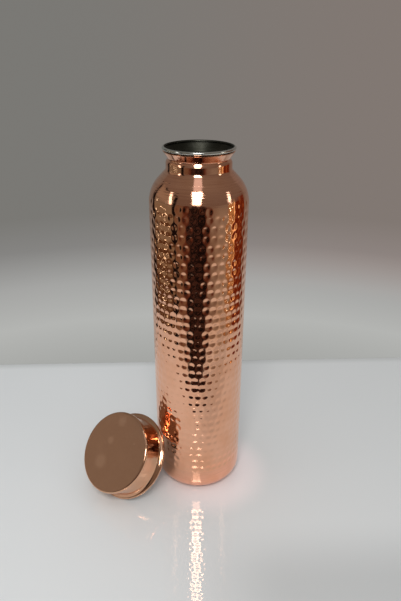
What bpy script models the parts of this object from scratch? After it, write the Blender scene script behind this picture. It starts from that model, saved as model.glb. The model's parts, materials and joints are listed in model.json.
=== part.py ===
"""Copper water bottle, with its push-on cap taken off and leaning against it.

The bottle is a hammered copper shell round a thin steel vessel whose mouth is rolled outwards
over the shell's top edge. The cap is a wide copper shell with a steel cup and a soft seal inside.
Every piece is turned from a cross-section of (radius, height) points, in metres, and the bottle
stands upright on the plane z = 0.
"""

import math

import bmesh
import bpy
from mathutils import Vector

MM = 0.001
GAP = 0.3 * MM                    # clearance between pieces that touch
SIDES = 48                        # sides of every turned piece
ARC_STEP = math.radians(24)       # angle between points along a rounded corner

# Copper shell of the bottle
BODY_RADIUS = 36.0 * MM
SHELL_WALL = 0.8 * MM
BASE_CORNER = 12.0 * MM           # rounding between the side and the base
BASE_LIP_RADIUS = 19.5 * MM       # edge of the hole in the base, turned up
BASE_LIP_HEIGHT = 3.2 * MM
SHOULDER_HEIGHT = 255.0 * MM      # where the side would meet the slope of the shoulder
SHOULDER_ROUNDING = 25.0 * MM
NECK_RADIUS = 23.45 * MM
NECK_HEIGHT = 268.2 * MM          # where the slope would meet the neck
NECK_ROUNDING = 3.4 * MM
NECK_TOP_HEIGHT = 274.1 * MM      # where the neck turns in towards the groove
NECK_TOP_ROUNDING = 4.0 * MM
GROOVE_RADIUS = 21.9 * MM
GROOVE_HEIGHT = 275.7 * MM
GROOVE_ROUNDING = 0.7 * MM
EDGE_RADIUS = 25.25 * MM          # top edge of the flare, under the lip
EDGE_HEIGHT = 280.8 * MM

# Steel vessel inside it
VESSEL_WALL = 0.5 * MM
VESSEL_FLOOR = 4.4 * MM
VESSEL_CORNER = 10.9 * MM
VESSEL_END_RADIUS = 23.0 * MM     # edge of the side wall's lower end
THROAT_RADIUS = 20.8 * MM
LIP_RADIUS = 25.85 * MM
LIP_ROLL = 1.05 * MM              # radius of the rolled lip's section
LIP_ROUNDING = 0.2 * MM           # where the flare turns out under the lip

# Recessed disc in the base
BASE_PLATE_HEIGHT = 1.6 * MM
BASE_PLATE_THICKNESS = 0.9 * MM

# Cap, measured upwards from its open end
CAP_HEIGHT = 22.5 * MM
CAP_TOP_RADIUS = 33.1 * MM
CAP_WALL_RADIUS = 32.3 * MM
CAP_WAIST = 0.1 * MM              # how far the wall draws in at half height
CAP_BAND_HEIGHT = 2.7 * MM        # straight band under the top's rounded edge
CAP_BAND_STEP = 0.7 * MM          # height of the small slope under that band
CAP_SHEET = 0.7 * MM
BEAD_RADIUS = 35.9 * MM           # outside of the rolled bead
BEAD_ROLL = 1.3 * MM              # radius of the bead's section
BEAD_NECK_INSET = 1.8 * MM        # from the middle of the bead in to the wall's foot
BEAD_NECK_HEIGHT = 4.4 * MM
CUP_RADIUS = 27.0 * MM
CUP_SHEET = 0.5 * MM
CUP_BRIM_HEIGHT = 2.3 * MM
SEAL_INNER_RADIUS = 21.5 * MM
SEAL_THICKNESS = 1.8 * MM

# How the cap leans: tilt of its axis from upright, the way its top faces, and where it stands,
# as a bearing and a distance from the bottle's axis
CAP_TILT = math.radians(48.2)
CAP_FACING = math.radians(227.0)
CAP_BEARING = math.radians(199.4)
CAP_DISTANCE = 61.9 * MM

# Name: colour, roughness, metallic
MATERIALS = {
    "hammered_copper": ((0.86, 0.42, 0.27), 0.16, 1.0),
    "brushed_copper": ((0.80, 0.40, 0.28), 0.32, 1.0),
    "polished_steel": ((0.62, 0.64, 0.60), 0.18, 1.0),
    "clear_silicone": ((0.82, 0.83, 0.80), 0.45, 0.0),
}


def clear_scene():
    for thing in list(bpy.data.objects):
        bpy.data.objects.remove(thing, do_unlink=True)


def make_material(name):
    colour, roughness, metallic = MATERIALS[name]
    material = bpy.data.materials.new(name)
    material.use_nodes = True
    shader = material.node_tree.nodes["Principled BSDF"]
    shader.inputs["Base Color"].default_value = (*colour, 1.0)
    shader.inputs["Roughness"].default_value = roughness
    shader.inputs["Metallic"].default_value = metallic
    return material


# ---- Outlines in the (radius, height) plane ----

def arc(centre, radius, start, end):
    """Points on an arc from one angle to another, in radians."""
    count = math.ceil(abs(end - start) / ARC_STEP) + 1
    angles = [start + (end - start) * i / (count - 1) for i in range(count)]
    return [centre + radius * Vector((math.cos(a), math.sin(a))) for a in angles]


def rounded_corner(before, corner, after, radius):
    """The arc that rounds a corner between two straight stretches."""
    into = (corner - before).normalized()
    out = (after - corner).normalized()
    turn = math.atan2(into.x * out.y - into.y * out.x, into.dot(out))
    side = math.copysign(1.0, turn)
    left_of_into = Vector((-into.y, into.x))
    start = corner - into * radius * math.tan(abs(turn) / 2)
    centre = start + left_of_into * side * radius
    first = math.atan2(start.y - centre.y, start.x - centre.x)
    return arc(centre, radius, first, first + turn)


def rounded_outline(corners):
    """Points through (radius, height, rounding) corners; the two ends have no rounding."""
    places = [Vector(corner[:2]) for corner in corners]
    points = [places[0]]
    for i in range(1, len(corners) - 1):
        points += rounded_corner(places[i - 1], places[i], places[i + 1], corners[i][2])
    return points + [places[-1]]


def offset_outline(points, distance):
    """The same outline moved to its left, so its wall has an even thickness."""
    moved = []
    for i, point in enumerate(points):
        into = (point - points[max(i - 1, 0)]).normalized()
        out = (points[min(i + 1, len(points) - 1)] - point).normalized()
        if i == 0:
            into = out
        if i == len(points) - 1:
            out = into
        along = (into + out).normalized()
        left = Vector((-along.y, along.x))
        moved.append(point + left * distance / along.dot(into))
    return moved


def turned_solid(name, section, material, holder):
    """One solid turned about the holder's Z axis from the outline of its cut face."""
    mesh_maker = bmesh.new()
    corners = [mesh_maker.verts.new((point.x, 0.0, point.y)) for point in section]
    edges = [mesh_maker.edges.new(pair) for pair in zip(corners, corners[1:])]
    if section[0].x > 0:
        edges.append(mesh_maker.edges.new((corners[-1], corners[0])))
    bmesh.ops.spin(mesh_maker, geom=corners + edges, cent=(0, 0, 0), axis=(0, 0, 1),
                   angle=math.tau, steps=SIDES, use_merge=True)
    bmesh.ops.remove_doubles(mesh_maker, verts=mesh_maker.verts, dist=0.001 * MM)
    bmesh.ops.recalc_face_normals(mesh_maker, faces=mesh_maker.faces)
    mesh = bpy.data.meshes.new(name)
    mesh_maker.to_mesh(mesh)
    mesh_maker.free()
    mesh.materials.append(material)
    mesh.shade_smooth()
    mesh.set_sharp_from_angle(angle=math.radians(40))
    piece = bpy.data.objects.new(name, mesh)
    bpy.context.collection.objects.link(piece)
    piece.parent = holder
    return piece


# ---- Bottle ----

def add_outer_shell(material, holder):
    """From the turned-up lip in the base, up the side and neck, to the flared top edge."""
    outline = rounded_outline([
        (BASE_LIP_RADIUS, BASE_LIP_HEIGHT),
        (BASE_LIP_RADIUS, 0.0, 1.2 * MM),
        (BODY_RADIUS, 0.0, BASE_CORNER),
        (BODY_RADIUS, SHOULDER_HEIGHT, SHOULDER_ROUNDING),
        (NECK_RADIUS, NECK_HEIGHT, NECK_ROUNDING),
        (NECK_RADIUS, NECK_TOP_HEIGHT, NECK_TOP_ROUNDING),
        (GROOVE_RADIUS, GROOVE_HEIGHT, GROOVE_ROUNDING),
        (EDGE_RADIUS, EDGE_HEIGHT),
    ])
    section = outline + list(reversed(offset_outline(outline, SHELL_WALL)))
    turned_solid("outer_shell", section, material, holder)


def add_liner_body(material, holder):
    """Follows the shell's inside at an even distance, then rolls outwards over its top edge."""
    inset = SHELL_WALL + GAP
    side = BODY_RADIUS - inset
    slope = math.atan2(BODY_RADIUS - NECK_RADIUS, NECK_HEIGHT - SHOULDER_HEIGHT)
    shoulder = SHOULDER_HEIGHT - inset * math.tan(slope / 2)
    throat_foot = shoulder + (side - THROAT_RADIUS) / math.tan(slope)
    flare = math.atan2(EDGE_RADIUS - GROOVE_RADIUS, EDGE_HEIGHT - GROOVE_HEIGHT)
    flare_foot = GROOVE_HEIGHT + inset * math.tan(flare / 2)
    underside = EDGE_HEIGHT + inset
    flare_top_radius = THROAT_RADIUS + (underside - flare_foot) * math.tan(flare)
    lip_centre = Vector((LIP_RADIUS - LIP_ROLL, underside + LIP_ROLL))
    outer = rounded_outline([
        (VESSEL_END_RADIUS, VESSEL_FLOOR),
        (side, VESSEL_FLOOR, VESSEL_CORNER),
        (side, shoulder, SHOULDER_ROUNDING - inset),
        (THROAT_RADIUS, throat_foot, NECK_ROUNDING + inset),
        (THROAT_RADIUS, flare_foot, GROOVE_ROUNDING + inset),
        (flare_top_radius, underside, LIP_ROUNDING),
        (lip_centre.x, underside),
    ])[:-1]
    inner = offset_outline(outer, VESSEL_WALL)
    lip = arc(lip_centre, LIP_ROLL, -math.pi / 2, math.pi)
    turned_solid("liner_body", outer + lip + list(reversed(inner)), material, holder)


def add_liner_bottom(material, holder):
    radius = VESSEL_END_RADIUS - GAP
    top = VESSEL_FLOOR + VESSEL_WALL
    section = [Vector(p) for p in (
        (0.0, VESSEL_FLOOR), (radius, VESSEL_FLOOR), (radius, top), (0.0, top))]
    turned_solid("liner_bottom", section, material, holder)


def add_base_plate(material, holder):
    radius = BASE_LIP_RADIUS - SHELL_WALL - GAP
    top = BASE_PLATE_HEIGHT + BASE_PLATE_THICKNESS
    section = [Vector(p) for p in (
        (0.0, BASE_PLATE_HEIGHT), (radius, BASE_PLATE_HEIGHT), (radius, top), (0.0, top))]
    turned_solid("base_plate", section, material, holder)


# ---- Cap ----

def add_cap_shell(material, holder):
    bead_centre = Vector((BEAD_RADIUS - BEAD_ROLL, BEAD_ROLL))
    bead = arc(bead_centre, BEAD_ROLL, math.radians(-200), math.radians(90))
    wall = rounded_outline([
        (bead_centre.x, 2 * BEAD_ROLL),
        (bead_centre.x - BEAD_NECK_INSET, BEAD_NECK_HEIGHT, 1.8 * MM),
        (CAP_WALL_RADIUS - CAP_WAIST, CAP_HEIGHT / 2, 40 * MM),
        (CAP_WALL_RADIUS, CAP_HEIGHT - CAP_BAND_HEIGHT - CAP_BAND_STEP, 0.7 * MM),
        (CAP_TOP_RADIUS, CAP_HEIGHT - CAP_BAND_HEIGHT, 0.7 * MM),
        (CAP_TOP_RADIUS, CAP_HEIGHT, 1.5 * MM),
        (0.0, CAP_HEIGHT),
    ])
    inside = offset_outline(wall, CAP_SHEET)[1:]
    inside[-1].x = 0.0
    turned_solid("cap_shell", list(reversed(inside)) + bead + wall[1:], material, holder)


def add_cap_insert(material, holder):
    """Steel cup that slips over the bottle's lip, with a brim that reaches the cap's wall."""
    top = CAP_HEIGHT - CAP_SHEET - GAP
    brim_radius = BEAD_RADIUS - 2 * BEAD_ROLL - 0.5 * MM
    outer = rounded_outline([
        (brim_radius, CUP_BRIM_HEIGHT),
        (CUP_RADIUS, CUP_BRIM_HEIGHT, 1.0 * MM),
        (CUP_RADIUS, top, 1.2 * MM),
        (0.0, top),
    ])
    inside = offset_outline(outer, CUP_SHEET)
    turned_solid("cap_insert", list(reversed(outer)) + inside, material, holder)


def add_cap_seal(material, holder):
    top = CAP_HEIGHT - CAP_SHEET - CUP_SHEET - 2 * GAP
    bottom = top - SEAL_THICKNESS
    outer_radius = CUP_RADIUS - CUP_SHEET - 2 * GAP
    section = [Vector(p) for p in (
        (SEAL_INNER_RADIUS, bottom), (outer_radius, bottom),
        (outer_radius, top), (SEAL_INNER_RADIUS, top))]
    turned_solid("cap_seal", section, material, holder)


# ---- Whole object ----

def add_holder(name, location, rotation):
    """Empty whose Z axis is the turning axis of the pieces parented to it."""
    holder = bpy.data.objects.new(name, None)
    bpy.context.collection.objects.link(holder)
    holder.location = location
    holder.rotation_euler = rotation
    return holder


def cap_place():
    """Where the middle of the cap's open end is when the bead rests on the ground."""
    lowest = (BEAD_RADIUS - BEAD_ROLL) * math.sin(CAP_TILT)
    height = lowest + BEAD_ROLL - BEAD_ROLL * math.cos(CAP_TILT)
    across = CAP_DISTANCE * math.cos(CAP_BEARING)
    along = CAP_DISTANCE * math.sin(CAP_BEARING)
    return Vector((across, along, height))


def centre_footprint(holders, pieces):
    """Slides everything sideways so that the origin is under the middle of the whole object."""
    bpy.context.view_layer.update()
    points = [piece.matrix_world @ vertex.co for piece in pieces for vertex in piece.data.vertices]
    for axis in range(2):
        values = [point[axis] for point in points]
        middle = (min(values) + max(values)) / 2
        for holder in holders:
            holder.location[axis] -= middle


def main():
    clear_scene()
    materials = {name: make_material(name) for name in MATERIALS}
    copper = materials["hammered_copper"]
    brushed = materials["brushed_copper"]
    steel = materials["polished_steel"]

    bottle = add_holder("bottle_axis", (0, 0, 0), (0, 0, 0))
    add_outer_shell(copper, bottle)
    add_base_plate(brushed, bottle)
    add_liner_body(steel, bottle)
    add_liner_bottom(steel, bottle)

    cap = add_holder("cap_axis", cap_place(), (0, CAP_TILT, CAP_FACING))
    add_cap_shell(brushed, cap)
    add_cap_insert(steel, cap)
    add_cap_seal(materials["clear_silicone"], cap)

    pieces = [thing for thing in bpy.data.objects if thing.type == "MESH"]
    centre_footprint([bottle, cap], pieces)


main()
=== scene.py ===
"""Looks of the copper water bottle and its loose cap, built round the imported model.

Every piece is turned again here at a fine resolution, in metres, from the same outlines as the
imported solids, and the shell gets its rows of round hammer dents. The bottle stands on a pale
glossy table top.
"""

import json
import math

import bpy
import numpy as np
from mathutils import Matrix, Vector


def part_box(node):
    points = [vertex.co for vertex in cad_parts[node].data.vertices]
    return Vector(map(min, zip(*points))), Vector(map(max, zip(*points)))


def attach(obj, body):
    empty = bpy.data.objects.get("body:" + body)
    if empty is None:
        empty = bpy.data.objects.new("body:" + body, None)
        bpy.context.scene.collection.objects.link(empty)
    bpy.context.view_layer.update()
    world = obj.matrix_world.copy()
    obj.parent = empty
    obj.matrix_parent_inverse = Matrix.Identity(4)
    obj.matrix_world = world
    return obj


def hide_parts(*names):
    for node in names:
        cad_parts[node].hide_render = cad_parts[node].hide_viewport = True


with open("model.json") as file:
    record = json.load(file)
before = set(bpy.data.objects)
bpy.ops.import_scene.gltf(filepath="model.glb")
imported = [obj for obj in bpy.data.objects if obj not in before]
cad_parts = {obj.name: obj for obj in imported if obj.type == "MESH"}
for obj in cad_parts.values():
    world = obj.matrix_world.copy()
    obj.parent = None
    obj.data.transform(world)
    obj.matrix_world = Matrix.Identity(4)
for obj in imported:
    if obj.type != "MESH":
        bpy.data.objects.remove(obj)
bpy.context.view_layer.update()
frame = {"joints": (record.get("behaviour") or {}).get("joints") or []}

MM = 0.001
ARC_STEP = math.radians(8)            # angle between points along a rounded corner
HIDDEN_ARC_STEP = math.radians(24)    # the same where nothing shows

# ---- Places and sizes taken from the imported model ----
shell_low, shell_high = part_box("outer_shell")
plate_low, plate_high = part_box("base_plate")
cap_twist = next(joint for joint in frame["joints"] if joint["name"] == "cap_twist")

BODY_RADIUS = (shell_high.x - shell_low.x) / 2
BOTTLE_FOOT = Vector(((shell_low.x + shell_high.x) / 2, (shell_low.y + shell_high.y) / 2, 0.0))
CAP_AXIS = Vector(cap_twist["axis"]).normalized()
CAP_PLACE = Vector(cap_twist["pos_m"])

# ---- Copper shell ----
SHELL_WALL = 0.8 * MM
GAP = 0.3 * MM
BASE_CORNER = 12.0 * MM
BASE_LIP_RADIUS = 19.5 * MM
BASE_LIP_HEIGHT = 3.2 * MM
BASE_LIP_ROUNDING = 1.2 * MM
BASE_DISC_ROUNDING = 0.25 * MM
SHOULDER_HEIGHT = 255.0 * MM          # where the side would meet the shoulder's slope
SHOULDER_ROUNDING = 25.0 * MM
NECK_RADIUS = 23.45 * MM
NECK_HEIGHT = 268.2 * MM              # where the slope would meet the neck
NECK_ROUNDING = 3.4 * MM
NECK_TOP_HEIGHT = 274.1 * MM          # where the neck turns in towards the groove
NECK_TOP_ROUNDING = 4.0 * MM
GROOVE_RADIUS = 21.9 * MM
GROOVE_HEIGHT = 275.7 * MM
GROOVE_ROUNDING = 0.7 * MM
EDGE_RADIUS = 25.25 * MM
EDGE_HEIGHT = 280.8 * MM

TURNING_LINES = (256.2 * MM, 257.9 * MM, 262.5 * MM)   # heights of rings cut in the shoulder

# ---- Hammer dents ----
DENT_COLUMNS = 41
DENT_PITCH = 6.75 * MM                # height between rows
FIRST_DENT_ROW = 25.2 * MM
DENT_ROWS = 34
DENT_RADIUS = 2.45 * MM
DENT_DEPTH = 0.30 * MM
ROW_WANDER = 0.2 * MM                 # how far a whole row sits off its even height
ROW_SLANT = 0.5 * MM                  # how far a row rises and falls on its way round
ROW_SHIFT = 0.10                      # how far the columns sway, in steps round the shell
STRIKE_WANDER = 0.11 * MM             # spread of the height of single marks
STRIKE_TURN = 0.03                    # spread of their bearings, in steps round the shell
RADIUS_SPREAD = 0.035                 # spread of their radii, as a share
DEPTH_SPREAD = 0.08                   # spread of their depths, as a share
HAMMERED_TOP = 249.5 * MM             # the highest marks, which follow an uneven line
HAMMERED_TOP_WANDER = 2.0 * MM
SMOOTH_PATCH_TOP = 242.0 * MM         # on the right of the front the marks stop lower
SMOOTH_PATCH_MIDDLE = math.radians(24)
SMOOTH_PATCH_HALF_WIDTH = math.radians(16)
FRONT_PATCH_TOP = 249.5 * MM          # in the middle of the front they end in an even line
FRONT_PATCH_HALF_WIDTH = math.radians(16)
STRAY_DENT_BEARING = math.radians(11.4)   # one mark alone, beside the smooth patch
STRAY_DENT_HEIGHT = 247.0 * MM
STRAY_DENT_DEPTH = 1.4 * DENT_DEPTH
MESH_COLUMNS_PER_DENT = 8
MESH_ROW_STEP = 1.1 * MM

# ---- Steel vessel ----
VESSEL_WALL = 0.5 * MM
VESSEL_FLOOR = 4.4 * MM
FLOOR_DISC_ROUNDING = 0.15 * MM
VESSEL_CORNER = 10.9 * MM
VESSEL_END_RADIUS = 23.0 * MM
THROAT_RADIUS = 20.8 * MM
LIP_RADIUS = 25.85 * MM
LIP_ROLL = 1.05 * MM
LIP_ROUNDING = 0.2 * MM

# ---- Cap, measured upwards from its open end ----
CAP_HEIGHT = 22.5 * MM
CAP_TOP_RADIUS = 33.1 * MM
CAP_WALL_RADIUS = 32.3 * MM
CAP_WAIST = 0.1 * MM
CAP_WAIST_ROUNDING = 40 * MM
CAP_BAND_HEIGHT = 2.7 * MM
CAP_BAND_STEP = 0.7 * MM
CAP_BAND_ROUNDING = 0.7 * MM
CAP_EDGE_ROUNDING = 1.5 * MM
CAP_SATIN_MARGIN = 1.2 * MM           # how far the satin of the top stops short of its edge
CAP_SHEET = 0.7 * MM
BEAD_RADIUS = 35.9 * MM
BEAD_ROLL = 1.3 * MM
BEAD_NECK_INSET = 1.8 * MM
BEAD_NECK_HEIGHT = 4.4 * MM
BEAD_NECK_ROUNDING = 1.8 * MM
CUP_RADIUS = 27.0 * MM
CUP_SHEET = 0.5 * MM
CUP_BRIM_HEIGHT = 2.3 * MM
CUP_BRIM_GAP = 0.5 * MM               # between the brim and the cap's bead
CUP_BRIM_ROUNDING = 1.0 * MM
CUP_EDGE_ROUNDING = 1.2 * MM
SEAL_INNER_RADIUS = 21.5 * MM
SEAL_THICKNESS = 1.8 * MM
SEAL_ROUNDING = 0.4 * MM

# Soft smudges on the cap's top, rougher and lighter, their lighter colour a painted soft
# highlight: where each one is across it, and its radius
CAP_SMUDGES_AND_SHEEN = (
    (-8 * MM, -13 * MM, 9 * MM),
    (-9 * MM, 6 * MM, 5 * MM),
    (-7 * MM, 24 * MM, 6 * MM),
)

SIDES = 192                           # sides of the turned pieces without dents
OWN_PLACE = "own_place"               # each mesh's coordinates about its own axis

# ---- Table top: how far it reaches from the bottle's axis, before it is turned ----
TABLE_LEFT = 320 * MM
TABLE_RIGHT = 270 * MM
TABLE_FRONT = 190 * MM
TABLE_BACK = 172 * MM
TABLE_THICKNESS = 25 * MM
TABLE_TURN = math.radians(2.4)
TABLE_EDGE_ROUNDING = 2 * MM
GLOW_OFFSET = Vector((9 * MM, -8 * MM, 0))   # from the bottle's axis to the warm tint's middle
GLOW_INNER_RADIUS = 32 * MM
GLOW_OUTER_RADIUS = 60 * MM
FAR_EDGE_WIDTH = 14 * MM
GREYER_FROM = -120 * MM               # across the table, from its middle
GREYER_TO = 80 * MM
NEAR_SHADE_FROM = -60 * MM            # towards the front, from its middle
NEAR_SHADE_TO = -120 * MM
RIGHT_SHADE_TO = 90 * MM              # across, with its start at the middle

# ---- Camera: the height, distance, tilt and lens that fit the photograph ----
CAMERA_BACK = 377.15 * MM             # in front of the bottle's axis
CAMERA_HEIGHT = 349.3 * MM
CAMERA_ASIDE = 1.5 * MM
CAMERA_PITCH = math.radians(26.0)     # below the horizon
CAMERA_ROLL = math.radians(0.27)
CAMERA_LENS = 32.0                    # in mm, as is the width of the sensor
CAMERA_SENSOR = 36.0


# ---- Outlines in the (radius, height) plane ----

def arc(centre, radius, start, end, step=ARC_STEP):
    """Points on an arc from one angle to another, in radians."""
    count = max(3, math.ceil(abs(end - start) / step) + 1)
    angles = [start + (end - start) * i / (count - 1) for i in range(count)]
    return [centre + radius * Vector((math.cos(a), math.sin(a))) for a in angles]


def rounded_corner(before, corner, after, radius, step):
    """The arc that rounds a corner between two straight stretches."""
    into = (corner - before).normalized()
    out = (after - corner).normalized()
    turn = math.atan2(into.x * out.y - into.y * out.x, into.dot(out))
    side = math.copysign(1.0, turn)
    left_of_into = Vector((-into.y, into.x))
    start = corner - into * radius * math.tan(abs(turn) / 2)
    centre = start + left_of_into * side * radius
    first = math.atan2(start.y - centre.y, start.x - centre.x)
    return arc(centre, radius, first, first + turn, step)


def rounded_outline(corners, step=ARC_STEP):
    """Points through (radius, height, rounding) corners; the two ends have no rounding."""
    places = [Vector(corner[:2]) for corner in corners]
    points = [places[0]]
    for i in range(1, len(corners) - 1):
        rounding = corners[i][2]
        points += rounded_corner(places[i - 1], places[i], places[i + 1], rounding, step)
    return points + [places[-1]]


def offset_outline(points, distance):
    """The same outline moved to its left, so its wall has an even thickness."""
    moved = []
    for i, point in enumerate(points):
        into = (point - points[max(i - 1, 0)]).normalized()
        out = (points[min(i + 1, len(points) - 1)] - point).normalized()
        if i == 0:
            into = out
        if i == len(points) - 1:
            out = into
        along = (into + out).normalized()
        left = Vector((-along.y, along.x))
        moved.append(point + left * distance / along.dot(into))
    return moved


# ---- Turned meshes ----

def turned_mesh(name, section, columns):
    """A closed mesh turned about Z from the outline of its cut face, in (radius, height) points.

    A point on the axis becomes a single vertex. Vertices are numbered ring by ring.
    """
    on_axis = [point.x < 0.01 * MM for point in section]
    angles = np.arange(columns) * math.tau / columns
    rings = []
    first_of_ring = []
    count = 0
    for point, single in zip(section, on_axis):
        around = angles[:1] if single else angles
        radius = 0.0 if single else point.x
        heights = np.full(len(around), point.y)
        ring = np.stack([radius * np.cos(around), radius * np.sin(around), heights], axis=1)
        first_of_ring.append(count)
        rings.append(ring)
        count += len(ring)
    faces = []
    for row in range(len(section)):
        after = (row + 1) % len(section)
        if on_axis[row] and on_axis[after]:
            continue
        here, there = first_of_ring[row], first_of_ring[after]
        for column in range(columns):
            beside = (column + 1) % columns
            if on_axis[row]:
                faces.append((here, there + beside, there + column))
            elif on_axis[after]:
                faces.append((here + column, here + beside, there))
            else:
                faces.append((here + column, here + beside, there + beside, there + column))
    mesh = bpy.data.meshes.new(name)
    mesh.from_pydata(np.concatenate(rings).tolist(), [], faces)
    mesh.validate()
    mesh.shade_smooth()
    mesh.set_sharp_from_angle(angle=math.radians(45))
    return mesh


def vertex_places(mesh):
    places = np.empty(3 * len(mesh.vertices))
    mesh.vertices.foreach_get("co", places)
    return places.reshape(-1, 3)


def add_piece(name, mesh, place, body, replaced):
    """Puts a finished mesh in its place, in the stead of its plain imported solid.

    The mesh itself is moved there. Its materials still need coordinates about its own turning
    axis, so those are kept with it first.
    """
    own_place = mesh.attributes.new(OWN_PLACE, "FLOAT_VECTOR", "POINT")
    own_place.data.foreach_set("vector", vertex_places(mesh).ravel())
    mesh.transform(place)
    piece = bpy.data.objects.new(name, mesh)
    bpy.context.collection.objects.link(piece)
    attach(piece, body)
    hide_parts(replaced)


# ---- Bottle ----

def shell_outline(step=ARC_STEP):
    """The copper shell's outer side, from the turned-up lip in the base to the top edge."""
    return rounded_outline([
        (BASE_LIP_RADIUS, BASE_LIP_HEIGHT),
        (BASE_LIP_RADIUS, 0.0, BASE_LIP_ROUNDING),
        (BODY_RADIUS, 0.0, BASE_CORNER),
        (BODY_RADIUS, SHOULDER_HEIGHT, SHOULDER_ROUNDING),
        (NECK_RADIUS, NECK_HEIGHT, NECK_ROUNDING),
        (NECK_RADIUS, NECK_TOP_HEIGHT, NECK_TOP_ROUNDING),
        (GROOVE_RADIUS, GROOVE_HEIGHT, GROOVE_ROUNDING),
        (EDGE_RADIUS, EDGE_HEIGHT),
    ], step)


def with_close_rows(outline, low, high):
    """Replaces the outline's points between two heights by the close rows that dents need."""
    heights = [point.y for point in outline]
    radii = [point.x for point in outline]
    rising = next(i for i, z in enumerate(heights) if z > low)
    rows = np.arange(low, high, MESH_ROW_STEP)
    row_radii = np.interp(rows, heights[rising - 1:], radii[rising - 1:])
    close = [Vector((float(r), float(z))) for r, z in zip(row_radii, rows)]
    return outline[:rising] + close + [point for point in outline if point.y > rows[-1]]


def top_of_hammering(bearing):
    """How high the marks reach at a bearing; bearing 0 is the front and grows to the right."""
    wander = math.sin(2 * bearing + 0.6) + 0.5 * math.sin(5 * bearing + 2.0)
    if abs(bearing - SMOOTH_PATCH_MIDDLE) < SMOOTH_PATCH_HALF_WIDTH:
        return SMOOTH_PATCH_TOP
    if abs(bearing) < FRONT_PATCH_HALF_WIDTH:
        return FRONT_PATCH_TOP
    return HAMMERED_TOP + HAMMERED_TOP_WANDER * wander / 1.5


def make_dents():
    """The hammer marks, as (bearing, height, radius, depth) of each.

    Rows come in pairs that share their bearings, and the next pair sits half a step round. Each
    mark is struck by hand, so its place, width and depth wander a little.
    """
    random = np.random.default_rng(7)
    step = math.tau / DENT_COLUMNS
    dents = [(STRAY_DENT_BEARING, STRAY_DENT_HEIGHT, DENT_RADIUS, STRAY_DENT_DEPTH)]
    for row in range(DENT_ROWS):
        shift = 0.5 * ((row // 2) % 2) + ROW_SHIFT * math.sin(0.55 * row)
        row_height = FIRST_DENT_ROW + row * DENT_PITCH + ROW_WANDER * math.sin(1.7 * row)
        for column in range(DENT_COLUMNS):
            middle = (column + shift - DENT_COLUMNS / 2) * step
            bearing = middle + random.normal(0, STRIKE_TURN) * step
            slant = ROW_SLANT * math.sin(bearing + 2.4)
            height = row_height + slant + random.normal(0, STRIKE_WANDER)
            radius = DENT_RADIUS * random.normal(1.0, RADIUS_SPREAD)
            depth = DENT_DEPTH * random.normal(1.0, DEPTH_SPREAD)
            if height < top_of_hammering(bearing):
                dents.append((bearing, height, radius, depth))
    return np.array(dents)


def dent_depths(places, dents):
    """How far in each place on the shell is, as the deepest of the round bowls that reach it."""
    bearings = np.arctan2(places[:, 0], -places[:, 1])
    depths = np.zeros(len(places))
    order = np.argsort(places[:, 2])
    heights = places[order, 2]
    for bearing, height, radius, deepest in dents:
        first, last = np.searchsorted(heights, (height - radius, height + radius))
        near = order[first:last]
        around = (bearings[near] - bearing + math.pi) % math.tau - math.pi
        distance = np.hypot(around * BODY_RADIUS, places[near, 2] - height) / radius
        bowl = deepest * np.clip(1.0 - distance ** 2, 0.0, None)
        depths[near] = np.maximum(depths[near], bowl)
    return depths


def hammer(mesh, count):
    """Pushes the first vertices of a turned shell in along their normals, one bowl to a mark."""
    places = vertex_places(mesh)
    normals = np.empty(3 * len(mesh.vertices))
    mesh.vertices.foreach_get("normal", normals)
    depths = dent_depths(places[:count], make_dents())
    places[:count] -= normals.reshape(-1, 3)[:count] * depths[:, None]
    mesh.vertices.foreach_set("co", places.ravel())
    mesh.update()


def add_hammered_shell(place, hammered_copper, turned_copper):
    """The dented side between a smooth turned foot, shoulder and neck.

    Close rows of vertices reach a little further down and up than the marks do.
    """
    low = FIRST_DENT_ROW - 1.4 * DENT_RADIUS
    high = HAMMERED_TOP + HAMMERED_TOP_WANDER + 1.2 * DENT_RADIUS
    outside = with_close_rows(shell_outline(), low, high)
    inside = offset_outline(shell_outline(HIDDEN_ARC_STEP), SHELL_WALL)
    columns = DENT_COLUMNS * MESH_COLUMNS_PER_DENT
    mesh = turned_mesh("hammered_shell", outside + list(reversed(inside)), columns)
    hammer(mesh, columns * len(outside))
    mesh.materials.append(hammered_copper)
    mesh.materials.append(turned_copper)
    for face in mesh.polygons:
        if not low < face.center.z < HAMMERED_TOP:
            face.material_index = 1
    add_piece("hammered_shell", mesh, place, "bottle", "outer_shell")


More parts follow.
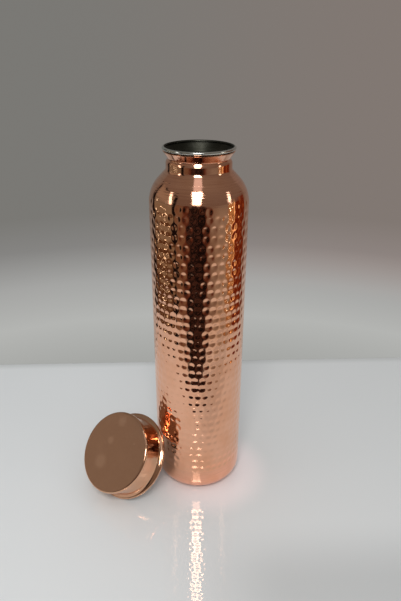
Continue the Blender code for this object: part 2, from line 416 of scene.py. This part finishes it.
def add_steel_vessel(place, bright_steel, dull_shaded_steel):
    """The vessel follows the shell's inside, then rolls outwards over its top edge.

    Its lip and its wide part are bright; the faces nearer to the axis, such as the throat's, are
    dull, with painted shade in their near-black colour.
    """
    inset = SHELL_WALL + GAP
    side = BODY_RADIUS - inset
    slope = math.atan2(BODY_RADIUS - NECK_RADIUS, NECK_HEIGHT - SHOULDER_HEIGHT)
    shoulder = SHOULDER_HEIGHT - inset * math.tan(slope / 2)
    throat_foot = shoulder + (side - THROAT_RADIUS) / math.tan(slope)
    flare = math.atan2(EDGE_RADIUS - GROOVE_RADIUS, EDGE_HEIGHT - GROOVE_HEIGHT)
    flare_foot = GROOVE_HEIGHT + inset * math.tan(flare / 2)
    underside = EDGE_HEIGHT + inset
    flare_top_radius = THROAT_RADIUS + (underside - flare_foot) * math.tan(flare)
    lip_centre = Vector((LIP_RADIUS - LIP_ROLL, underside + LIP_ROLL))
    outer = rounded_outline([
        (VESSEL_END_RADIUS, VESSEL_FLOOR),
        (side, VESSEL_FLOOR, VESSEL_CORNER),
        (side, shoulder, SHOULDER_ROUNDING - inset),
        (THROAT_RADIUS, throat_foot, NECK_ROUNDING + inset),
        (THROAT_RADIUS, flare_foot, GROOVE_ROUNDING + inset),
        (flare_top_radius, underside, LIP_ROUNDING),
        (lip_centre.x, underside),
    ])[:-1]
    inner = offset_outline(outer, VESSEL_WALL)
    lip = arc(lip_centre, LIP_ROLL, -math.pi / 2, math.pi, math.radians(15))
    mesh = turned_mesh("steel_vessel", outer + lip + list(reversed(inner)), SIDES)
    mesh.materials.append(bright_steel)
    mesh.materials.append(dull_shaded_steel)
    # Faces nearer to the axis, the inner side of the lip's roll too, take the dull steel painted
    # near black as shade.
    for face in mesh.polygons:
        radius = math.hypot(face.center.x, face.center.y)
        if radius < lip_centre.x - 0.3 * LIP_ROLL:
            face.material_index = 1
    add_piece("steel_vessel", mesh, place, "bottle", "liner_body")


def disc_section(radius, bottom, top, rounding):
    """Cut face of a flat disc whose rim is rounded."""
    return rounded_outline([
        (0.0, bottom), (radius, bottom, rounding), (radius, top, rounding), (0.0, top)])


def add_vessel_floor(place, steel):
    radius = VESSEL_END_RADIUS - GAP
    top = VESSEL_FLOOR + VESSEL_WALL
    section = disc_section(radius, VESSEL_FLOOR, top, FLOOR_DISC_ROUNDING)
    mesh = turned_mesh("vessel_floor", section, SIDES)
    mesh.materials.append(steel)
    add_piece("vessel_floor", mesh, place, "bottle", "liner_bottom")


def add_base_disc(place, copper):
    radius = BASE_LIP_RADIUS - SHELL_WALL - GAP
    section = disc_section(radius, plate_low.z, plate_high.z, BASE_DISC_ROUNDING)
    mesh = turned_mesh("base_disc", section, SIDES)
    mesh.materials.append(copper)
    add_piece("base_disc", mesh, place, "bottle", "base_plate")


# ---- Cap ----

def add_cap_cover(place, wall_copper, top_copper):
    """Flat top, rounded edge, waisted wall, and the rolled bead round its open end."""
    bead_centre = Vector((BEAD_RADIUS - BEAD_ROLL, BEAD_ROLL))
    bead = arc(bead_centre, BEAD_ROLL, math.radians(-200), math.radians(90), math.radians(12))
    wall = rounded_outline([
        (bead_centre.x, 2 * BEAD_ROLL),
        (bead_centre.x - BEAD_NECK_INSET, BEAD_NECK_HEIGHT, BEAD_NECK_ROUNDING),
        (CAP_WALL_RADIUS - CAP_WAIST, CAP_HEIGHT / 2, CAP_WAIST_ROUNDING),
        (CAP_WALL_RADIUS, CAP_HEIGHT - CAP_BAND_HEIGHT - CAP_BAND_STEP, CAP_BAND_ROUNDING),
        (CAP_TOP_RADIUS, CAP_HEIGHT - CAP_BAND_HEIGHT, CAP_BAND_ROUNDING),
        (CAP_TOP_RADIUS, CAP_HEIGHT, CAP_EDGE_ROUNDING),
        (0.0, CAP_HEIGHT),
    ])
    inside = offset_outline(wall, CAP_SHEET)[1:]
    inside[-1].x = 0.0
    mesh = turned_mesh("cap_cover", list(reversed(inside)) + bead + wall[1:], SIDES)
    mesh.materials.append(wall_copper)
    mesh.materials.append(top_copper)
    top_edge = CAP_TOP_RADIUS - CAP_SATIN_MARGIN
    for face in mesh.polygons:
        on_top = face.center.z > CAP_HEIGHT - 0.1 * MM
        if on_top and math.hypot(face.center.x, face.center.y) < top_edge:
            face.material_index = 1
    add_piece("cap_cover", mesh, place, "cap", "cap_shell")


def add_cap_cup(place, steel):
    """Steel cup that slips over the bottle's lip, with a brim that reaches the cap's wall."""
    top = CAP_HEIGHT - CAP_SHEET - GAP
    brim_radius = BEAD_RADIUS - 2 * BEAD_ROLL - CUP_BRIM_GAP
    outer = rounded_outline([
        (brim_radius, CUP_BRIM_HEIGHT),
        (CUP_RADIUS, CUP_BRIM_HEIGHT, CUP_BRIM_ROUNDING),
        (CUP_RADIUS, top, CUP_EDGE_ROUNDING),
        (0.0, top),
    ])
    inside = offset_outline(outer, CUP_SHEET)
    mesh = turned_mesh("cap_cup", list(reversed(outer)) + inside, SIDES)
    mesh.materials.append(steel)
    add_piece("cap_cup", mesh, place, "cap", "cap_insert")


def add_seal_ring(place, silicone):
    top = CAP_HEIGHT - CAP_SHEET - CUP_SHEET - 2 * GAP
    bottom = top - SEAL_THICKNESS
    outer_radius = CUP_RADIUS - CUP_SHEET - 2 * GAP
    middle = (SEAL_INNER_RADIUS + outer_radius) / 2
    section = rounded_outline([
        (middle, bottom),
        (outer_radius, bottom, SEAL_ROUNDING),
        (outer_radius, top, SEAL_ROUNDING),
        (SEAL_INNER_RADIUS, top, SEAL_ROUNDING),
        (SEAL_INNER_RADIUS, bottom, SEAL_ROUNDING),
        (middle, bottom),
    ])[:-1]
    mesh = turned_mesh("seal_ring", section, SIDES)
    mesh.materials.append(silicone)
    add_piece("seal_ring", mesh, place, "seal", "cap_seal")


# ---- Materials ----

class Nodes:
    """A node tree, with a short way to add a node and link or set its inputs."""

    def __init__(self, tree):
        self.tree = tree

    def add(self, kind, inputs=None, **settings):
        node = self.tree.nodes.new(kind)
        for name, value in settings.items():
            setattr(node, name, value)
        for name, value in (inputs or {}).items():
            self.set(node.inputs[name], value)
        return node

    def set(self, socket, value):
        if isinstance(value, bpy.types.NodeSocket):
            self.tree.links.new(value, socket)
        else:
            socket.default_value = value

    def math(self, operation, first, second=0.0):
        node = self.add("ShaderNodeMath", operation=operation)
        self.set(node.inputs[0], first)
        self.set(node.inputs[1], second)
        return node.outputs[0]

    def spread(self, value, low, high, to_low=0.0, to_high=1.0, kind="SMOOTHSTEP"):
        """Maps a value from one range to another, and holds it at the ends."""
        return self.add("ShaderNodeMapRange", {
            "Value": value, "From Min": low, "From Max": high,
            "To Min": to_low, "To Max": to_high}, interpolation_type=kind).outputs[0]

    def mix(self, share, first, second, blend="MIX"):
        node = self.add("ShaderNodeMix", data_type="RGBA", blend_type=blend)
        self.set(node.inputs[0], share)
        self.set(node.inputs[6], first)
        self.set(node.inputs[7], second)
        return node.outputs[2]

    def noise(self, place, scale, detail=3.0, roughness=0.55):
        """Fractal noise from 0 to 1; scale is the number of features to a metre."""
        return self.add("ShaderNodeTexNoise", {
            "Vector": place, "Scale": scale, "Detail": detail,
            "Roughness": roughness}).outputs["Fac"]

    def ramp(self, value, stops):
        """A colour that changes evenly from one (value, colour) stop to the next."""
        low, high = stops[0][0], stops[-1][0]
        node = self.add("ShaderNodeValToRGB", {
            "Fac": self.spread(value, low, high, kind="LINEAR")})
        elements = node.color_ramp.elements
        elements[0].color = stops[0][1]
        elements[-1].color = stops[-1][1]
        for stop, colour in stops[1:-1]:
            elements.new((stop - low) / (high - low)).color = colour
        return node.outputs["Color"]

    def scaled(self, place, across, along):
        """Coordinates stretched across and along the piece's own axis."""
        return self.add("ShaderNodeMapping", {
            "Vector": place, "Scale": (across, across, along)}).outputs[0]


def rgb(red, green, blue):
    return (red, green, blue, 1.0)


def new_material(name):
    """A Principled material; returns it with its shader, nodes and the piece's own coordinates."""
    material = bpy.data.materials.new(name)
    material.use_nodes = True
    nodes = Nodes(material.node_tree)
    shader = material.node_tree.nodes["Principled BSDF"]
    place = nodes.add("ShaderNodeAttribute", attribute_name=OWN_PLACE).outputs["Vector"]
    return material, shader, nodes, place


def bump(nodes, shader, height, distance):
    """Raises the surface by height times distance, in metres."""
    node = nodes.add("ShaderNodeBump", {
        "Height": height, "Distance": distance, "Strength": 1.0})
    nodes.set(shader.inputs["Normal"], node.outputs[0])


def make_hammered_copper():
    """Polished copper: faintly clouded and specked, with smears and a slightly uneven skin."""
    material, shader, nodes, place = new_material("hammered_copper")
    clouds = nodes.noise(place, 45, 4)
    specks = nodes.noise(place, 900, 2)
    clear = rgb(0.95, 0.515, 0.34)
    clouded = rgb(0.89, 0.45, 0.275)
    colour = nodes.mix(nodes.spread(clouds, 0.35, 0.7), clear, clouded)
    darker = nodes.mix(nodes.spread(specks, 0.62, 0.8, 0.0, 0.3), colour, rgb(0.62, 0.29, 0.17))
    nodes.set(shader.inputs["Base Color"], darker)
    shader.inputs["Metallic"].default_value = 1.0
    smears = nodes.noise(nodes.scaled(place, 1.0, 0.25), 160, 4)
    nodes.set(shader.inputs["Roughness"], nodes.spread(smears, 0.3, 0.75, 0.035, 0.09))
    skin = nodes.noise(place, 420, 2)
    bump(nodes, shader, skin, 0.012 * MM)
    return material


def make_turned_copper(name, clear, clouded):
    """Smooth copper with fine rings left by the polishing, and deeper ones at TURNING_LINES."""
    material, shader, nodes, place = new_material(name)
    clouds = nodes.noise(place, 60, 4)
    colour = nodes.mix(nodes.spread(clouds, 0.35, 0.7), clear, clouded)
    rings = nodes.noise(nodes.scaled(place, 0.02, 1.0), 1500, 4, 0.7)
    wide_rings = nodes.noise(nodes.scaled(place, 0.03, 1.0), 420, 4, 0.7)
    nodes.set(shader.inputs["Base Color"],
              nodes.mix(nodes.spread(rings, 0.4, 0.75, 0.0, 0.55), colour, rgb(0.62, 0.30, 0.20)))
    shader.inputs["Metallic"].default_value = 1.0
    nodes.set(shader.inputs["Roughness"], nodes.spread(wide_rings, 0.3, 0.7, 0.04, 0.12))
    height = nodes.math("ADD", rings, nodes.math("MULTIPLY", wide_rings, 3.0))
    up = nodes.add("ShaderNodeSeparateXYZ", {"Vector": place}).outputs["Z"]
    for line in TURNING_LINES:
        away = nodes.math("ABSOLUTE", nodes.math("SUBTRACT", up, line))
        groove = nodes.spread(away, 0.0, 0.45 * MM, 2.5, 0.0)
        height = nodes.math("SUBTRACT", height, groove)
    bump(nodes, shader, height, 0.018 * MM)
    return material


def make_satin_copper():
    """The cap's flat top: rubbed brown copper with soft smudges and a few fine scratches.

    The smudges are rougher and lighter; the lighter colour of the listed ones is a painted soft
    highlight.
    """
    material, shader, nodes, place = new_material("satin_copper")
    smudges_and_sheen = nodes.math("MULTIPLY", nodes.noise(place, 55, 5, 0.6), 0.55)
    # Each listed smudge is rougher and lighter; its lighter colour is a painted soft highlight.
    for x, y, size in CAP_SMUDGES_AND_SHEEN:
        middle = Vector((x, y, CAP_HEIGHT))
        away = nodes.add("ShaderNodeVectorMath", {0: place, 1: middle}, operation="DISTANCE")
        smudge_and_sheen = nodes.spread(away.outputs["Value"], 0.2 * size, size, 0.5, 0.0)
        smudges_and_sheen = nodes.math("ADD", smudges_and_sheen, smudge_and_sheen)
    grain = nodes.noise(place, 1800, 2)
    scratches = nodes.noise(place, 300, 6, 0.8)
    colour = nodes.mix(nodes.spread(smudges_and_sheen, 0.2, 0.8), rgb(0.68, 0.42, 0.31),
                       rgb(0.82, 0.53, 0.40))
    nodes.set(shader.inputs["Base Color"],
              nodes.mix(nodes.spread(grain, 0.45, 0.75, 0.0, 0.3), colour, rgb(0.44, 0.26, 0.19)))
    shader.inputs["Metallic"].default_value = 1.0
    soft = nodes.spread(smudges_and_sheen, 0.2, 0.8, 0.16, 0.24)
    nodes.set(shader.inputs["Roughness"],
              nodes.math("ADD", soft, nodes.spread(scratches, 0.60, 0.72, 0.0, 0.14)))
    uneven = nodes.math("MULTIPLY", nodes.noise(place, 25, 2), 8.0)
    bump(nodes, shader, nodes.math("ADD", grain, uneven), 0.01 * MM)
    return material


def make_bright_steel():
    """Turned steel of the rolled lip, the vessel's wide part and the cap's cup."""
    material, shader, nodes, place = new_material("bright_steel")
    rings = nodes.noise(nodes.scaled(place, 0.02, 1.0), 1200, 4, 0.7)
    clouds = nodes.noise(place, 55, 4)
    colour = nodes.mix(nodes.spread(clouds, 0.35, 0.7), rgb(0.64, 0.67, 0.64),
                       rgb(0.52, 0.55, 0.52))
    nodes.set(shader.inputs["Base Color"], colour)
    shader.inputs["Metallic"].default_value = 1.0
    nodes.set(shader.inputs["Roughness"], nodes.spread(rings, 0.3, 0.7, 0.10, 0.22))
    bump(nodes, shader, rings, 0.006 * MM)
    return material


def make_dull_shaded_steel():
    """Unpolished steel with rings from spinning, for the vessel's throat and floor.

    Its near-black colour is painted shade of the inside.
    """
    material, shader, nodes, place = new_material("dull_shaded_steel")
    rings = nodes.noise(nodes.scaled(place, 0.03, 1.0), 900, 4, 0.7)
    stains = nodes.noise(place, 90, 4)
    # Near-black colour: painted shade of the inside of the vessel.
    colour = nodes.mix(nodes.spread(stains, 0.4, 0.7), rgb(0.030, 0.031, 0.024),
                       rgb(0.055, 0.056, 0.046))
    nodes.set(shader.inputs["Base Color"], colour)
    shader.inputs["Metallic"].default_value = 1.0
    nodes.set(shader.inputs["Roughness"], nodes.spread(rings, 0.3, 0.7, 0.38, 0.52))
    bump(nodes, shader, rings, 0.02 * MM)
    return material


def make_silicone():
    """Milky soft ring with a fine satin skin."""
    material, shader, nodes, place = new_material("clear_silicone")
    clouds = nodes.noise(place, 90, 3)
    colour = nodes.mix(clouds, rgb(0.80, 0.81, 0.78), rgb(0.70, 0.72, 0.69))
    nodes.set(shader.inputs["Base Color"], colour)
    shader.inputs["Subsurface Weight"].default_value = 0.3
    shader.inputs["Subsurface Radius"].default_value = (0.002, 0.002, 0.002)
    skin = nodes.noise(place, 1500, 2)
    nodes.set(shader.inputs["Roughness"], nodes.spread(skin, 0.3, 0.7, 0.38, 0.55))
    bump(nodes, shader, skin, 0.01 * MM)
    return material


def make_table_white(half_depth, glow_centre):
    """Pale glossy table top, whose colour follows the photograph's light from place to place.

    It is a little greyer on the right than on the left, and darker along its far edge and near
    its right front corner. A warm tint round the bottle's foot stands for the light that the
    copper throws on the table. Distances are in metres from the table's middle.
    """
    material, shader, nodes, _ = new_material("pale_table")
    place = nodes.add("ShaderNodeTexCoord").outputs["Object"]
    parts = nodes.add("ShaderNodeSeparateXYZ", {"Vector": place}).outputs
    clouds = nodes.noise(place, 9, 3)
    across = nodes.spread(parts["X"], GREYER_FROM, GREYER_TO)
    across = nodes.math("ADD", across, nodes.math("MULTIPLY", clouds, 0.2))
    white = nodes.mix(across, rgb(0.815, 0.835, 0.835), rgb(0.74, 0.755, 0.75))
    away = nodes.add("ShaderNodeVectorMath", {0: place, 1: glow_centre}, operation="DISTANCE")
    glow = nodes.spread(away.outputs["Value"], GLOW_INNER_RADIUS, GLOW_OUTER_RADIUS, 0.9, 0.0)
    top_only = nodes.spread(parts["Z"], 0.0, 10 * MM)
    glow = nodes.math("MULTIPLY", glow, top_only)
    tinted = nodes.mix(glow, white, rgb(0.95, 0.88, 0.88))
    far = nodes.spread(parts["Y"], half_depth - FAR_EDGE_WIDTH, half_depth, 0.0, 0.5)
    near = nodes.spread(parts["Y"], NEAR_SHADE_FROM, NEAR_SHADE_TO)
    right = nodes.spread(parts["X"], 0.0, RIGHT_SHADE_TO, 0.0, 0.8)
    near_right = nodes.math("MULTIPLY", near, right)
    tinted = nodes.mix(near_right, tinted, rgb(0.55, 0.56, 0.555))
    nodes.set(shader.inputs["Base Color"], nodes.mix(far, tinted, rgb(0.46, 0.47, 0.46)))
    shader.inputs["IOR"].default_value = 1.65
    fine = nodes.noise(place, 60, 3)
    nodes.set(shader.inputs["Roughness"], nodes.spread(fine, 0.3, 0.7, 0.010, 0.022))
    return material


# ---- Stage: table top, light panels, surroundings and camera ----

def add_table():
    """A plain rectangular top under the bottle, with softly rounded edges, turned a little."""
    turn = Matrix.Rotation(TABLE_TURN, 4, "Z")
    centre = BOTTLE_FOOT + Vector((
        (TABLE_RIGHT - TABLE_LEFT) / 2, (TABLE_BACK - TABLE_FRONT) / 2, -TABLE_THICKNESS / 2))
    half = Vector((
        (TABLE_LEFT + TABLE_RIGHT) / 2, (TABLE_FRONT + TABLE_BACK) / 2, TABLE_THICKNESS / 2))
    mesh = bpy.data.meshes.new("table_top")
    corners = [(x * half.x, y * half.y, z * half.z)
               for z in (-1, 1) for x, y in ((-1, -1), (1, -1), (1, 1), (-1, 1))]
    faces = [(3, 2, 1, 0), (4, 5, 6, 7)]
    faces += [(i, (i + 1) % 4, 4 + (i + 1) % 4, 4 + i) for i in range(4)]
    mesh.from_pydata(corners, [], faces)
    glow_centre = turn.inverted() @ (BOTTLE_FOOT + GLOW_OFFSET - centre)
    mesh.materials.append(make_table_white(half.y, glow_centre))
    table = bpy.data.objects.new("table_top", mesh)
    bpy.context.collection.objects.link(table)
    table.matrix_world = Matrix.Translation(centre) @ turn
    rounding = table.modifiers.new("rounded edges", "BEVEL")
    rounding.width = TABLE_EDGE_ROUNDING
    rounding.segments = 4


def direction(azimuth, elevation):
    """Unit vector; azimuth 0 points from the bottle to the camera and 90 degrees to +X."""
    azimuth, elevation = math.radians(azimuth), math.radians(elevation)
    return Vector((math.sin(azimuth) * math.cos(elevation),
                   -math.cos(azimuth) * math.cos(elevation), math.sin(elevation)))


def add_panel(name, azimuth, lowest, highest, wide, brightness, colour, lean=0.0, distance=1.6):
    """A rectangular soft light that faces the shoulder, from a distance in metres.

    Its place and size are angles in degrees as seen from the shoulder, and lean turns it in its
    own plane.
    """
    target = BOTTLE_FOOT + Vector((0, 0, SHOULDER_HEIGHT))
    towards = direction(azimuth, (lowest + highest) / 2)
    data = bpy.data.lights.new(name, "AREA")
    data.shape = "RECTANGLE"
    data.size = 2 * distance * math.tan(math.radians(wide / 2))
    data.size_y = 2 * distance * math.tan(math.radians((highest - lowest) / 2))
    data.energy = brightness * math.pi * data.size * data.size_y
    data.color = colour
    light = bpy.data.objects.new(name, data)
    bpy.context.collection.objects.link(light)
    light.visible_camera = False
    turn = towards.to_track_quat("Z", "Y").to_matrix()
    turn = turn @ Matrix.Rotation(math.radians(lean), 3, "Z")
    light.matrix_world = Matrix.Translation(target + distance * towards) @ turn.to_4x4()


def add_panels():
    """Two panels in front, one overhead and one at each side.

    The low front one and the side ones are close: from far off, their mirror images in the
    table would show as long streaks low on the shell.
    """
    white = (1.0, 0.98, 0.96)
    lilac = (0.97, 0.92, 1.0)
    add_panel("front_panel_low", -4.5, 15.2, 36.5, 18, 5.5, white, distance=0.47)
    add_panel("front_panel_high", -4.5, 42.5, 54, 20, 14.0, white)
    add_panel("ceiling_panel", -5, 56, 84, 16, 0.6, lilac)
    add_panel("left_panel", -67.5, 5.5, 32, 6.5, 2.7, white, 20, distance=0.3)
    add_panel("right_panel", 74, 9, 29, 7, 2.7, white, -20, distance=0.3)


def make_surroundings():
    """What is seen behind the bottle, what its polished copper mirrors, and the fill light.

    Angles are in degrees, with azimuth 0 towards the camera and 90 to the right. The camera sees
    a wall with painted light and shade: lighter in a band just above the table, darker higher
    up, and a little pinker on the right. Glossy rays find the wall only behind the bottle, and
    elsewhere a room of soft coloured regions, later ones laid over earlier ones. Other rays find
    an even grey fill.
    """
    world = bpy.data.worlds.new("room")
    bpy.context.scene.world = world
    world.use_nodes = True
    world.node_tree.nodes.clear()
    nodes = Nodes(world.node_tree)
    ray = nodes.add("ShaderNodeTexCoord").outputs["Generated"]
    parts = nodes.add("ShaderNodeSeparateXYZ", {"Vector": ray}).outputs
    backwards = nodes.math("MULTIPLY", parts["Y"], -1.0)
    azimuth = nodes.math("DEGREES", nodes.math("ARCTAN2", parts["X"], backwards))
    elevation = nodes.math("DEGREES", nodes.math("ARCSINE", parts["Z"]))

    def inside(value, low, high, softness):
        """1 where the value is between two limits, and 0 outside them."""
        rising = nodes.spread(value, low - softness, low + softness)
        falling = nodes.spread(value, high - softness, high + softness, 1.0, 0.0)
        return nodes.math("MULTIPLY", rising, falling)

    def region(west, east, bottom, top, softness):
        """1 in a patch of the surroundings, between two azimuths and two elevations."""
        across = inside(azimuth, west, east, softness)
        return nodes.math("MULTIPLY", across, inside(elevation, bottom, top, softness))

    # Painted light and shade on the wall: a lighter band just above the table, darker higher up.
    wall = nodes.ramp(elevation, [
        (-40, rgb(0.38, 0.385, 0.37)), (-32, rgb(0.38, 0.385, 0.37)),
        (-27.5, rgb(0.455, 0.46, 0.445)), (-23.5, rgb(0.375, 0.375, 0.365)),
        (-19.8, rgb(0.235, 0.23, 0.222)), (-16.5, rgb(0.195, 0.19, 0.177)),
        (0, rgb(0.195, 0.19, 0.177))])
    to_the_right = nodes.math("MULTIPLY", nodes.spread(parts["X"], -0.3, 0.35),
                              nodes.spread(elevation, -25, -20))
    wall = nodes.mix(to_the_right, wall, rgb(1.13, 0.99, 0.96), "MULTIPLY")

    # The walls of the room on the left and the right
    dark = rgb(0.008, 0.005, 0.005)
    room = rgb(0.19, 0.155, 0.125)
    beige = nodes.ramp(elevation, [
        (-34, rgb(0.40, 0.365, 0.31)), (-27, rgb(0.40, 0.365, 0.31)),
        (-20, rgb(0.26, 0.235, 0.195)), (0, rgb(0.22, 0.20, 0.17))])
    olive = nodes.ramp(elevation, [
        (-34, rgb(0.085, 0.045, 0.022)), (-23, rgb(0.095, 0.052, 0.026)),
        (-20, rgb(0.16, 0.12, 0.075)), (-16, rgb(0.21, 0.185, 0.135)),
        (0, rgb(0.21, 0.185, 0.135))])
    gold = nodes.ramp(elevation, [
        (-34, rgb(0.26, 0.14, 0.06)), (-25, rgb(0.28, 0.155, 0.065)),
        (-20, rgb(0.37, 0.215, 0.09)), (0, rgb(0.42, 0.25, 0.11))])
    room = nodes.mix(inside(azimuth, 40, 70, 10), room, beige)
    room = nodes.mix(inside(azimuth, -50, -34, 5), room, rgb(0.165, 0.105, 0.065))
    room = nodes.mix(inside(azimuth, -118, -62, 3), room, olive)
    room = nodes.mix(inside(azimuth, 70, 89, 3), room, gold)

    # Small lights in both side walls
    spots = nodes.add("ShaderNodeTexVoronoi", {"Vector": ray, "Scale": 8.0}).outputs["Distance"]
    glints = nodes.spread(spots, 0.14, 0.20, 1.0, 0.0)
    glints = nodes.math("MULTIPLY", glints, nodes.spread(elevation, -27, -20, 0.1, 1.0))
    glinting = nodes.math("ADD", inside(azimuth, -112, -80, 4), inside(azimuth, 68, 88, 3))
    room = nodes.mix(nodes.math("MULTIPLY", glints, glinting), room, rgb(5.0, 5.4, 4.6))

    # Deep red on the far right, with a bright stripe where it begins and a duller one in it
    room = nodes.mix(inside(azimuth, 90, 124, 3), room, rgb(0.125, 0.021, 0.006))
    room = nodes.mix(region(86.5, 89.5, -25, 10, 1.2), room, rgb(1.3, 0.85, 0.42))
    room = nodes.mix(inside(azimuth, 104, 109, 3), room, rgb(0.26, 0.08, 0.025))

    # The pale floor in front, and a dark band up the middle. It stands where the photographed
    # bottle mirrors whoever took the picture, but has no figure in it.
    near_floor = inside(elevation, -90, -29, 3)
    across = inside(azimuth, -75, 125, 5)
    room = nodes.mix(nodes.math("MULTIPLY", near_floor, across), room, rgb(0.60, 0.60, 0.58))
    room = nodes.mix(region(-35, 24, -30, 9, 6), room, rgb(0.10, 0.034, 0.018))
    room = nodes.mix(region(-16, 11, -90, 0, 4), room, rgb(0.034, 0.020, 0.016))
    blotches = nodes.spread(nodes.noise(ray, 4.0, 2), 0.45, 0.62)
    band = nodes.mix(blotches, dark, rgb(0.044, 0.022, 0.017))
    room = nodes.mix(region(-26, 17, -36, 8, 4.5), room, band)

    # Dark posts at both sides of the left wall
    room = nodes.mix(inside(azimuth, -62, -52, 2), room, dark)
    room = nodes.mix(inside(azimuth, -134, -119, 2), room, dark)

    # The ceiling, and the pale pane in a dark frame that hangs over the left wall
    ceiling = nodes.ramp(elevation, [
        (-2, rgb(0.15, 0.12, 0.10)), (25, rgb(0.17, 0.14, 0.12)), (70, rgb(0.21, 0.18, 0.15)),
        (90, rgb(0.24, 0.21, 0.18))])
    room = nodes.mix(nodes.spread(elevation, 2, 12), room, ceiling)
    room = nodes.mix(region(-118, -62, 7, 31, 3), room, rgb(0.28, 0.235, 0.18))
    room = nodes.mix(region(-104, -62, 31.5, 34.5, 1), room, dark)
    room = nodes.mix(region(-125, -120, -20, 26, 1.5), room, dark)
    room = nodes.mix(region(-61, -53, -20, 33, 1.5), room, dark)
    behind = nodes.spread(nodes.math("ABSOLUTE", azimuth), 126, 136)
    room = nodes.mix(behind, room, wall)

    kind = nodes.add("ShaderNodeLightPath").outputs
    seen = nodes.add("ShaderNodeBackground", {"Color": wall}).outputs[0]
    mirrored = nodes.add("ShaderNodeBackground", {"Color": room}).outputs[0]
    fill = nodes.add("ShaderNodeBackground", {"Color": rgb(0.50, 0.51, 0.52)}).outputs[0]
    lit = nodes.add("ShaderNodeMixShader", {
        0: kind["Is Glossy Ray"], 1: fill, 2: mirrored}).outputs[0]
    both = nodes.add("ShaderNodeMixShader", {0: kind["Is Camera Ray"], 1: lit, 2: seen})
    nodes.add("ShaderNodeOutputWorld", {"Surface": both.outputs[0]})


def add_camera():
    data = bpy.data.cameras.new("camera")
    data.lens = CAMERA_LENS
    data.sensor_width = CAMERA_SENSOR
    data.clip_start = 0.01
    camera = bpy.data.objects.new("camera", data)
    bpy.context.collection.objects.link(camera)
    place = BOTTLE_FOOT + Vector((CAMERA_ASIDE, -CAMERA_BACK, CAMERA_HEIGHT))
    tilt = Matrix.Rotation(math.pi / 2 - CAMERA_PITCH, 4, "X")
    camera.matrix_world = Matrix.Translation(place) @ tilt @ Matrix.Rotation(CAMERA_ROLL, 4, "Z")
    bpy.context.scene.camera = camera


# ---- Whole scene ----

def build():
    bpy.context.scene.view_settings.view_transform = "Standard"
    add_camera()
    make_surroundings()
    add_panels()
    add_table()

    hammered = make_hammered_copper()
    turned = make_turned_copper("turned_copper", rgb(0.93, 0.515, 0.35), rgb(0.86, 0.45, 0.285))
    cap_copper = make_turned_copper("cap_copper", rgb(0.84, 0.50, 0.32), rgb(0.76, 0.43, 0.26))
    bright_steel = make_bright_steel()
    dull_shaded_steel = make_dull_shaded_steel()
    bottle = Matrix.Translation(BOTTLE_FOOT)
    add_hammered_shell(bottle, hammered, turned)
    add_steel_vessel(bottle, bright_steel, dull_shaded_steel)
    add_vessel_floor(bottle, dull_shaded_steel)
    add_base_disc(bottle, turned)

    cap = Matrix.Translation(CAP_PLACE) @ CAP_AXIS.to_track_quat("Z", "Y").to_matrix().to_4x4()
    add_cap_cover(cap, cap_copper, make_satin_copper())
    add_cap_cup(cap, bright_steel)
    add_seal_ring(cap, make_silicone())


build()
